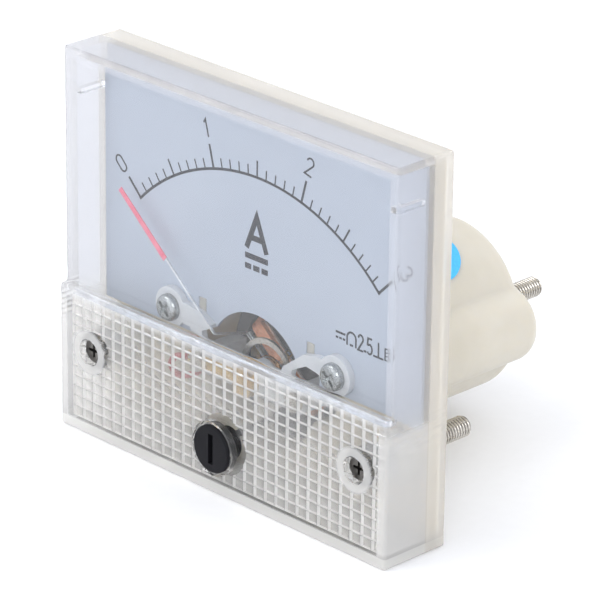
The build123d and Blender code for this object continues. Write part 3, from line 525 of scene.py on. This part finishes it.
class Print:
    """Flat strokes drawn on the dial's face."""

    def __init__(self):
        self.data = bmesh.new()

    def stroke(self, points, width, closed=False):
        """A ribbon of that width along the points, with mitred corners."""
        points = [Vector(p) for p in points]
        count = len(points)
        left, right = [], []
        for i, point in enumerate(points):
            before = points[(i - 1) % count] if closed or i > 0 else None
            after = points[(i + 1) % count] if closed or i < count - 1 else None
            run_in = (point - before).normalized() if before else (after - point).normalized()
            run_out = (after - point).normalized() if after else run_in
            side_in = Vector((-run_in.y, run_in.x))
            side_out = Vector((-run_out.y, run_out.x))
            side = (side_in + side_out).normalized()
            reach = width / 2 / max(0.35, side.dot(side_out))
            left.append(point + side * reach)
            right.append(point - side * reach)
        last = count if closed else count - 1
        left = [self.data.verts.new((p.x, INK_FRONT, p.y)) for p in left]
        right = [self.data.verts.new((p.x, INK_FRONT, p.y)) for p in right]
        for i in range(last):
            j = (i + 1) % count
            self.data.faces.new((right[i], right[j], left[j], left[i]))


def arc(centre, radius_x, radius_z, start, end, count):
    """Points on an ellipse; angles in degrees from up, growing to the right."""
    points = []
    for i in range(count + 1):
        angle = math.radians(start + (end - start) * i / count)
        points.append(
            (centre[0] + radius_x * math.sin(angle), centre[1] + radius_z * math.cos(angle))
        )
    return points


def glyph(name):
    """Strokes of one character, 1 high and about 0.55 wide, its middle at 0, 0."""
    if name == "0":
        loop = arc((0, 0.24), 0.25, 0.26, -90, 90, 10) + arc((0, -0.24), 0.25, 0.26, 90, 270, 10)
        return [(loop, True)]
    if name == "1":
        return [([(-0.14, 0.32), (0.04, 0.5), (0.04, -0.5)], False)]
    if name == "2":
        return [(arc((0, 0.24), 0.25, 0.26, -80, 110, 12)
                 + [(-0.26, -0.5), (0.28, -0.5)], False)]
    if name == "3":
        return [(arc((0, 0.25), 0.24, 0.25, -75, 165, 12), False),
                (arc((0, -0.23), 0.27, 0.27, 10, 255, 14), False)]
    if name == "5":
        return [([(0.24, 0.5), (-0.18, 0.5), (-0.22, 0.08)]
                 + arc((0, -0.19), 0.26, 0.31, -35, 235, 14), False)]
    if name == "A":
        return [([(-0.37, -0.5), (0, 0.42), (0.37, -0.5)], False),
                ([(-0.24, -0.18), (0.24, -0.18)], False)]
    if name == ".":
        return [([(0, -0.5), (0, -0.36)], False)]
    return []


dial_print = Print()
# A decimal point takes less room than a digit, and its dot is wider than a digit's stroke
POINT_PITCH = 0.6
POINT_WEIGHT = 1.7


def write(text, place, height, width, turn=0.0, pitch=0.72, squeeze=1.0):
    """Characters side by side around place, turned clockwise by turn degrees."""
    across = Vector((math.cos(math.radians(turn)), -math.sin(math.radians(turn))))
    up = Vector((math.sin(math.radians(turn)), math.cos(math.radians(turn))))
    widths = [POINT_PITCH * pitch if c == "." else pitch for c in text]
    x = -sum(widths) / 2
    for character, step in zip(text, widths):
        for points, closed in glyph(character):
            turned = [
                Vector(place) + across * (x + step / 2 + px * squeeze) * height + up * pz * height
                for px, pz in points
            ]
            weight = POINT_WEIGHT if character == "." else 1
            dial_print.stroke(turned, width * weight, closed)
        x += step


SCALE_START = -45
DEGREES_PER_MARK = 3
MARKS_PER_UNIT = 10
UNITS = 3
ARC_OVERRUN = 0.4
ARC_WIDTH = 0.38
NUMERAL_RADIUS = 38.1
# Length and width of the marks at whole units, at halves and between them
UNIT_MARK = (3.4, 0.36)
HALF_MARK = (2.4, 0.28)
SMALL_MARK = (1.5, 0.22)

centre = (0.0, SCALE_CENTRE_Z)
arc_end = -SCALE_START + ARC_OVERRUN
dial_print.stroke(arc(centre, SCALE_RADIUS, SCALE_RADIUS, -arc_end, arc_end, 90), ARC_WIDTH)
for mark in range(UNITS * MARKS_PER_UNIT + 1):
    angle = math.radians(SCALE_START + DEGREES_PER_MARK * mark)
    if mark % MARKS_PER_UNIT == 0:
        length, width = UNIT_MARK
    elif mark % (MARKS_PER_UNIT // 2) == 0:
        length, width = HALF_MARK
    else:
        length, width = SMALL_MARK
    out = Vector((math.sin(angle), math.cos(angle)))
    start = Vector(centre) + out * SCALE_RADIUS
    dial_print.stroke([start, start + out * length], width)
for value in range(UNITS + 1):
    angle = SCALE_START + DEGREES_PER_MARK * MARKS_PER_UNIT * value
    place = arc(centre, NUMERAL_RADIUS, NUMERAL_RADIUS, angle, angle, 1)[0]
    write(str(value), place, 2.5, 0.26, angle)

# The unit letter with the direct-current sign below it
write("A", (0, 23.7), 5.2, 0.85)
dial_print.stroke([(-2.2, 20.0), (2.2, 20.0)], 0.8)
for x in (-1.6, 0.0, 1.6):
    dial_print.stroke([(x - 0.6, 18.5), (x + 0.6, 18.5)], 0.8)

# Symbols at the lower right: direct current
dial_print.stroke([(15.2, 14.3), (17.0, 14.3)], 0.3)
for x in (15.45, 16.1, 16.75):
    dial_print.stroke([(x - 0.22, 13.55), (x + 0.22, 13.55)], 0.3)
# Moving coil in a magnet
dial_print.stroke(
    [(17.33, 13.0)] + arc((18.15, 14.15), 0.82, 0.82, -90, 90, 10) + [(18.97, 13.0)], 0.28
)
dial_print.stroke([(17.85, 13.15), (18.45, 13.15)], 0.3)
# Accuracy class
write("2.5", (20.67, 14.05), 2.2, 0.28, pitch=0.47, squeeze=0.8)
# Upright use
dial_print.stroke([(22.2, 13.0), (24.05, 13.0)], 0.28)
dial_print.stroke([(23.13, 13.0), (23.13, 15.1)], 0.28)
# Screening
dial_print.stroke([(24.35, 13.05), (25.05, 13.05), (25.05, 14.65), (24.35, 14.65)], 0.2, True)
for z in (13.6, 14.1):
    dial_print.stroke([(24.4, z), (25.0, z)], 0.16)

ink = put("dial_print", dial_print.data, "root", INK)
thick = ink.modifiers.new("ink_film", "SOLIDIFY")
thick.thickness = INK_THICKNESS * MM
thick.offset = -1.0

# ---- Threads -----------------------------------------------------------------------------------

THREAD_PITCH = 0.5
THREAD_MAJOR = 1.5
THREAD_ROOT = 1.22
THREAD_FLANK = 1.3
THREAD_FLAT = 0.12
RINGS_PER_PITCH = 8
TURN_POINTS = 40
# Faces nearer the axis than this are in the groove and take its darker look, painted shade for the
# thread roots
GROOVE_RADIUS = 1.36

# (depth, radius) rings before each thread: a hollow head and its neck, a head and its shank
MOUNT_RINGS = (
    (-3.0, 0.98), (-2.6, 1.0), (-5.5, 1.0), (-5.5, 2.35), (-5.35, 2.5), (-0.95, 2.5),
    (-0.8, 2.35), (-0.8, 1.75), (0.0, 1.75), (0.0, 1.3),
)
MOUNT_THREAD = (0.05, 9.9)
MOUNT_TIP_RADIUS = 1.1
TERMINAL_RINGS = (
    (32.0, 2.5), (32.2, 2.75), (33.8, 2.75), (34.0, 2.55), (34.0, 1.24), (38.9, 1.24),
)
TERMINAL_THREAD = (38.95, 46.7)
TERMINAL_TIP_RADIUS = 0.6


def thread_radius(y, angle):
    """The radius of a rolled M3 thread at that depth and angle."""
    phase = (y / THREAD_PITCH - angle / math.tau) % 1.0
    ridge = (1 - abs(2 * phase - 1)) * THREAD_FLANK - THREAD_FLAT
    rise = min(1.0, max(0.0, ridge))
    return THREAD_ROOT + (THREAD_MAJOR - THREAD_ROOT) * rise


def lathe(data, x, z, plain, thread, tip_radius):
    """A turned pin: plain (depth, radius) rings, then a threaded run with a chamfered tip."""
    thread_start, thread_end = thread
    rows = []

    def ring(y, radius_at):
        rows.append([
            (x + radius_at(a) * math.sin(a), y, z + radius_at(a) * math.cos(a))
            for a in (math.tau * i / TURN_POINTS for i in range(TURN_POINTS))
        ])

    for y, radius in plain:
        ring(y, lambda a: radius)
    steps = round((thread_end - thread_start) / THREAD_PITCH * RINGS_PER_PITCH)
    for step in range(steps + 1):
        y = thread_start + (thread_end - thread_start) * step / steps
        limit = tip_radius + (thread_end - y)
        ring(y, lambda a: min(limit, thread_radius(y, a)))
    made = add_grid(data, rows)
    data.faces.new(made[0])
    data.faces.new(reversed(made[-1]))
    # Faces in the groove take the second look, the painted groove shade
    for face in data.faces:
        centre = face.calc_center_median()
        if centre.y > thread_start and math.hypot(centre.x - x, centre.z - z) < GROOVE_RADIUS:
            face.material_index = 1


def finish_lathes(data, name, slot, node):
    """The turned pins as one piece that replaces a CAD node."""
    bmesh.ops.recalc_face_normals(data, faces=data.faces)
    obj = put(name, data, "root", LOOKS[slot], (node,), smooth=38)
    obj.data.materials.append(PAINTED_GROOVE_SHADE)
    return obj


mount_threads = bmesh.new()
for x in (-STUD_X, STUD_X):
    lathe(mount_threads, x, 0.0, MOUNT_RINGS, MOUNT_THREAD, MOUNT_TIP_RADIUS)
finish_lathes(mount_threads, "mounting_stud_threads", "nickel", "mounting_studs")

terminal_threads = bmesh.new()
for x in (-TERMINAL_X, TERMINAL_X):
    lathe(terminal_threads, x, TERMINAL_Z, TERMINAL_RINGS, TERMINAL_THREAD, TERMINAL_TIP_RADIUS)
finish_lathes(terminal_threads, "terminal_stud_threads", "nickel", "terminal_studs")

# ---- Wound coil --------------------------------------------------------------------------------

WIRES = 12
STEPS_PER_WIRE = 4
WIND_HALF_WIDTH = 1.1
# How far out the bottom of the groove between two wires lies, from the inner loop to the outer
GROOVE_SHARE = 0.86
OUTWARD = Vector((math.sin(ZERO_ANGLE), 0, math.cos(ZERO_ANGLE)))
ACROSS = Vector((math.cos(ZERO_ANGLE), 0, -math.sin(ZERO_ANGLE)))


def rounded_loop(half_length, front, back, corner):
    """Points (out, depth) round a rounded rectangle."""
    side = half_length - corner
    near = front + corner
    far = back - corner
    points = []
    for x, y, start in ((side, near, 270), (side, far, 0), (-side, far, 90), (-side, near, 180)):
        for i in range(7):
            angle = math.radians(start + 15 * i)
            points.append((x + corner * math.cos(angle), y + corner * math.sin(angle)))
    return points


winding = bmesh.new()
outer_loop = rounded_loop(half_length=7.8, front=1.6, back=14.9, corner=1.0)
inner_loop = rounded_loop(half_length=6.97, front=2.32, back=14.18, corner=0.6)
rows = []
for outer_point, inner_point in zip(outer_loop, inner_loop):
    outer = Vector(outer_point)
    inner = Vector(inner_point)
    row = []
    for step in range(WIRES * STEPS_PER_WIRE + 1):
        share = step / (WIRES * STEPS_PER_WIRE)
        crown = abs(math.sin(math.pi * WIRES * share))
        at = inner.lerp(outer, GROOVE_SHARE + (1 - GROOVE_SHARE) * crown)
        row.append((at, (2 * share - 1) * WIND_HALF_WIDTH))
    row += [(inner, WIND_HALF_WIDTH), (inner, -WIND_HALF_WIDTH)]
    rows.append([
        Vector((0, p.y, PIVOT_Z)) + OUTWARD * p.x + ACROSS * w for p, w in row
    ])
rows.append(rows[0])
add_grid(winding, rows)
bmesh.ops.remove_doubles(winding, verts=winding.verts, dist=0.001)
bmesh.ops.recalc_face_normals(winding, faces=winding.faces)
put("wound_coil", winding, "moving_coil", LOOKS["copper"], ("coil_winding",), smooth=50)

# ---- Softened edges on the CAD pieces ----------------------------------------------------------

# Bevel widths in millimetres
for node_name, size in (
    ("terminal_nuts", 0.18), ("terminal_washers", 0.06), ("dial_screws", 0.05),
    ("cover_screws", 0.06), ("zero_adjuster", 0.06), ("front_bridge", 0.12), ("yoke_ring", 0.1),
):
    bevel = nodes[node_name].modifiers.new("edges", "BEVEL")
    bevel.width = size * MM
    bevel.segments = 2
    bevel.limit_method = "ANGLE"
    bevel.angle_limit = math.radians(45)

# ---- Floor, light and camera -------------------------------------------------------------------

FLOOR_HALF_SIZE = 1.5
FLOOR_GAP = 0.02
floor_data = bmesh.new()
bmesh.ops.create_grid(floor_data, x_segments=8, y_segments=8, size=FLOOR_HALF_SIZE)
floor_mesh = bpy.data.meshes.new("floor")
floor_data.to_mesh(floor_mesh)
floor_data.free()
floor = bpy.data.objects.new("floor", floor_mesh)
bpy.context.scene.collection.objects.link(floor)
floor.location.z = (FLOOR_Z - FLOOR_GAP) * MM
ground = Nodes("floor_paper")
fibres = ground.noise(2.0, 5)
floor.data.materials.append(ground.finish(
    ground.ramp(fibres, ((0.3, (0.935, 0.935, 0.94)), (0.7, (0.955, 0.955, 0.96)))),
    ground.spread(fibres, 0.75, 0.9),
    ground.bump(fibres, 0.02, 0.2),
))

world = bpy.data.worlds.new("studio")
world.use_nodes = True
bpy.context.scene.world = world
background = world.node_tree.nodes["Background"]
background.inputs["Color"].default_value = (0.93, 0.95, 1.0, 1.0)
background.inputs["Strength"].default_value = 1.06
bpy.context.scene.view_settings.view_transform = "Standard"
# Enough bounces for light to get through the cover's relief and walls
LIGHT_BOUNCES = 24
bpy.context.scene.cycles.max_bounces = LIGHT_BOUNCES
bpy.context.scene.cycles.transmission_bounces = LIGHT_BOUNCES


def area_light(name, place, target, size, power, colour=(1, 1, 1)):
    """A rectangular soft light at place, facing target."""
    data = bpy.data.lights.new(name, "AREA")
    data.shape = "RECTANGLE"
    data.size, data.size_y = size
    data.energy = power
    data.color = colour
    light = bpy.data.objects.new(name, data)
    bpy.context.scene.collection.objects.link(light)
    light.location = place
    light.rotation_mode = "QUATERNION"
    light.rotation_quaternion = (Vector(target) - Vector(place)).to_track_quat("-Z", "Y")


area_light("key", (-0.35, -0.35, 0.65), (0, 0, 0.01), (0.5, 0.5), 1.8, (1.0, 0.99, 0.97))
area_light("front", (-0.12, -0.75, 0.3), (0, 0, 0.01), (0.4, 0.4), 0.6)
area_light("side", (0.5, -0.46, 0.36), (0, 0, 0.01), (0.3, 0.3), 1.2, (0.99, 0.99, 1.0))
area_light("rim", (0.1, 0.7, 0.5), (0, 0.01, 0.02), (0.5, 0.3), 0.55)

# The photograph's viewing angle; the steps put the object where the photograph has it
AZIMUTH = math.radians(45.515)
ELEVATION = math.radians(22.89)
ROLL = math.radians(0.738)
DISTANCE = 0.54707
LENS = 246.5
AIM = Vector((0, -0.0099, 0.0154))
STEP_RIGHT = 0.010125
STEP_UP = 0.000262
back = Vector((
    math.sin(AZIMUTH) * math.cos(ELEVATION), -math.cos(AZIMUTH) * math.cos(ELEVATION),
    math.sin(ELEVATION),
))
level = Vector((math.cos(AZIMUTH), math.sin(AZIMUTH), 0))
upward = back.cross(level)
right = math.cos(ROLL) * level + math.sin(ROLL) * upward
top = -math.sin(ROLL) * level + math.cos(ROLL) * upward
camera_data = bpy.data.cameras.new("camera")
camera = bpy.data.objects.new("camera", camera_data)
bpy.context.scene.collection.objects.link(camera)
camera_data.sensor_width = 36
camera_data.lens = LENS
camera_data.clip_start = 0.02
camera_data.clip_end = 10
camera.matrix_world = Matrix((
    (right.x, top.x, back.x, 0), (right.y, top.y, back.y, 0), (right.z, top.z, back.z, 0),
    (0, 0, 0, 1),
))
camera.location = AIM + DISTANCE * back + STEP_RIGHT * right + STEP_UP * top
bpy.context.scene.camera = camera
